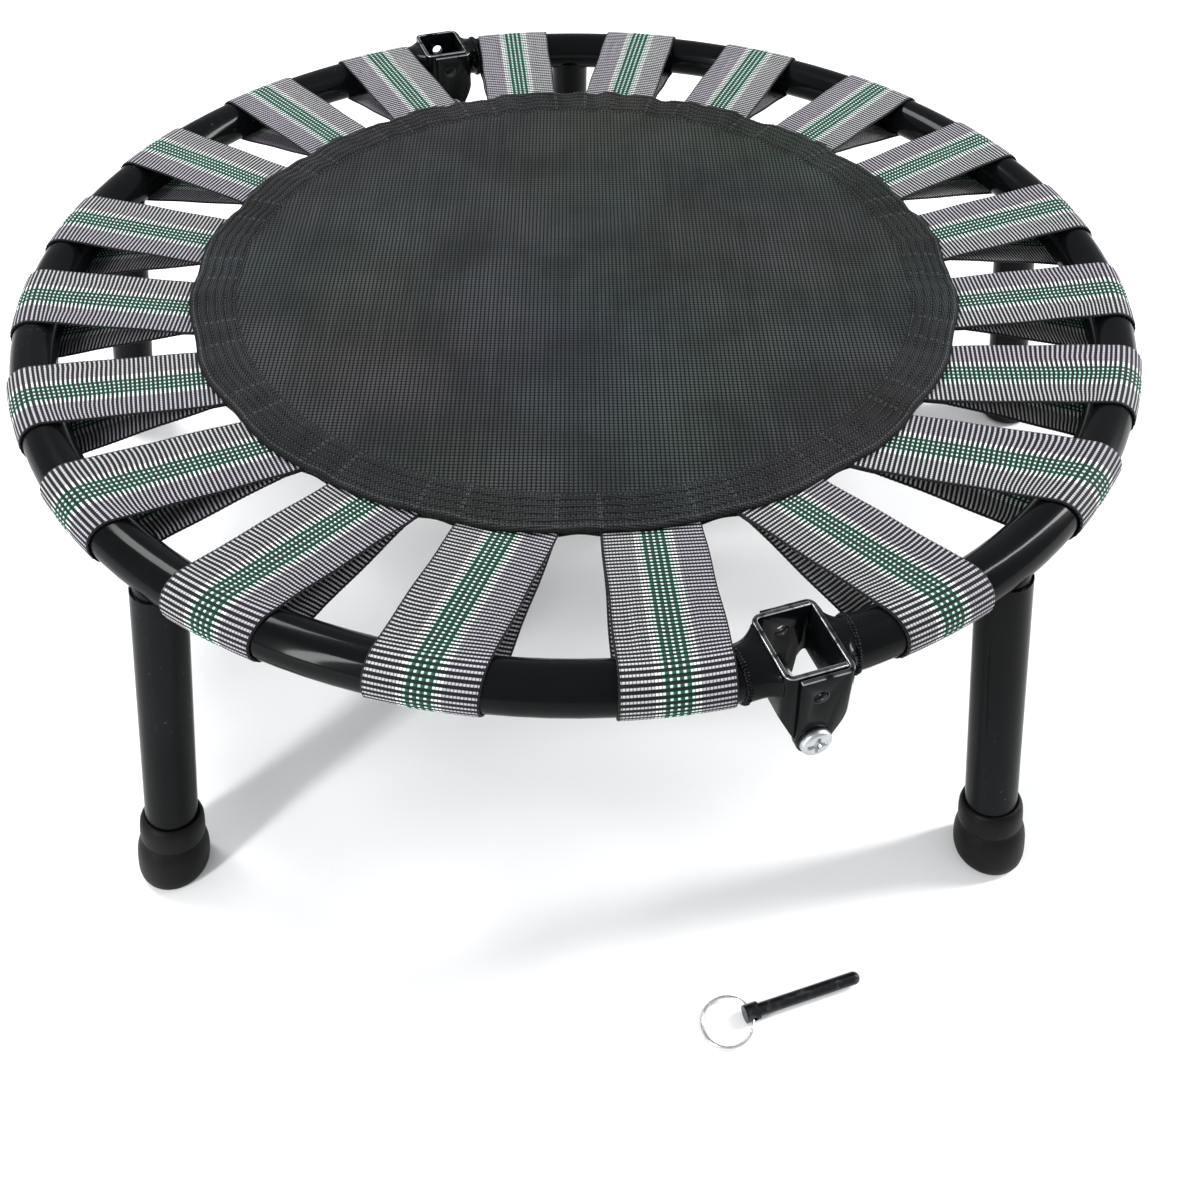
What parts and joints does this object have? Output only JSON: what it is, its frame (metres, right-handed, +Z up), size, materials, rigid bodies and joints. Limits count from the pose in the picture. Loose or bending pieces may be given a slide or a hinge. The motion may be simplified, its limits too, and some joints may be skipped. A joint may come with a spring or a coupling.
{
  "type": "folding mini trampoline",
  "caption": "Round rebounder: woven mat hung on striped elastic loops in a black tube ring that folds in half at two clevis hinges, on splayed pull-off legs with rubber feet.",
  "frame": {"origin": "on the floor, at the middle of the whole outline; the ring's own centre is 23.45 mm towards -X", "axes": "+Y along the hinge line, from the front hinge to the rear one, +Z up; the half with the outer brackets is on the +X side"},
  "size_m": [0.8659, 0.9498, 0.2688],
  "materials": {
    "black_steel": "gloss black paint",
    "black_rubber": "satin moulded rubber",
    "zinc_steel": "bright zinc plate",
    "dark_pin_steel": "black oxide",
    "bright_wire": "nickel-plated spring wire",
    "striped_webbing": "ribbed elastic webbing, black and white with green centre stripes",
    "woven_mat": "square-woven polypropylene mesh",
    "mat_hem": "folded and stitched border"
  },
  "bodies": {
    "right_frame": {"ring_tube_right": "black_steel", "outer_bracket_front": "black_steel", "outer_bracket_rear": "black_steel", "weld_beads_right": "black_steel", "leg_spigots_right": "black_steel", "pivot_bolt_front": "zinc_steel", "pivot_bolt_rear": "zinc_steel", "pivot_nut_front": "zinc_steel", "pivot_nut_rear": "zinc_steel", "pivot_washers": "zinc_steel", "mat_right": "woven_mat", "mat_hem_right": "mat_hem", "webbing_right_01": "striped_webbing", "webbing_right_02": "striped_webbing", "webbing_right_03": "striped_webbing", "webbing_right_04": "striped_webbing", "webbing_right_05": "striped_webbing", "webbing_right_06": "striped_webbing", "webbing_right_07": "striped_webbing", "webbing_right_08": "striped_webbing", "webbing_right_09": "striped_webbing", "webbing_right_10": "striped_webbing"},
    "left_frame": {"ring_tube_left": "black_steel", "inner_bracket_front": "black_steel", "inner_bracket_rear": "black_steel", "weld_beads_left": "black_steel", "leg_spigots_left": "black_steel", "pivot_sleeves": "zinc_steel", "mat_left": "woven_mat", "mat_hem_left": "mat_hem", "webbing_left_01": "striped_webbing", "webbing_left_02": "striped_webbing", "webbing_left_03": "striped_webbing", "webbing_left_04": "striped_webbing", "webbing_left_05": "striped_webbing", "webbing_left_06": "striped_webbing", "webbing_left_07": "striped_webbing", "webbing_left_08": "striped_webbing", "webbing_left_09": "striped_webbing", "webbing_left_10": "striped_webbing"},
    "leg_1": {"leg_1_tube": "black_steel", "leg_1_foot": "black_rubber"},
    "leg_2": {"leg_2_tube": "black_steel", "leg_2_foot": "black_rubber"},
    "leg_3": {"leg_3_tube": "black_steel", "leg_3_foot": "black_rubber"},
    "leg_4": {"leg_4_tube": "black_steel", "leg_4_foot": "black_rubber"},
    "leg_5": {"leg_5_tube": "black_steel", "leg_5_foot": "black_rubber"},
    "front_pin": {"lock_pin_front": "dark_pin_steel", "pin_ring_front": "bright_wire"},
    "rear_pin": {"lock_pin_rear": "dark_pin_steel", "pin_ring_rear": "bright_wire"}
  },
  "joints": [
    {"name": "fold", "type": "hinge", "parent": "right_frame", "child": "left_frame", "pos_m": [-0.02345, 0, 0.214], "axis": [0, -1, 0], "range_deg": [0, 180]},
    {"name": "leg_1_pull_off", "type": "slide", "parent": "right_frame", "child": "leg_1", "axis": [0.0665, -0.1604, -0.9848], "range_m": [0, 0.1802]},
    {"name": "leg_2_pull_off", "type": "slide", "parent": "right_frame", "child": "leg_2", "axis": [0.1736, 0.0039, -0.9848], "range_m": [0, 0.1802]},
    {"name": "leg_3_pull_off", "type": "slide", "parent": "right_frame", "child": "leg_3", "axis": [0.0537, 0.1651, -0.9848], "range_m": [0, 0.1802]},
    {"name": "leg_4_pull_off", "type": "slide", "parent": "left_frame", "child": "leg_4", "axis": [-0.1383, 0.105, -0.9848], "range_m": [0, 0.1802]},
    {"name": "leg_5_pull_off", "type": "slide", "parent": "left_frame", "child": "leg_5", "axis": [-0.1465, -0.0933, -0.9848], "range_m": [0, 0.1802]},
    {"name": "front_pin_lift", "type": "slide", "parent": "right_frame", "child": "front_pin", "axis": [0, 0, 1], "range_m": [0, 0.24]},
    {"name": "rear_pin_lift", "type": "slide", "parent": "right_frame", "child": "rear_pin", "axis": [0, 0, 1], "range_m": [0, 0.24]}
  ],
  "couplings": [
    {"joint": "leg_1_pull_off", "follows": "fold", "m_per_rad": 0.057296},
    {"joint": "leg_2_pull_off", "follows": "fold", "m_per_rad": 0.057296},
    {"joint": "leg_3_pull_off", "follows": "fold", "m_per_rad": 0.057296},
    {"joint": "leg_4_pull_off", "follows": "fold", "m_per_rad": 0.057296},
    {"joint": "leg_5_pull_off", "follows": "fold", "m_per_rad": 0.057296}
  ]
}
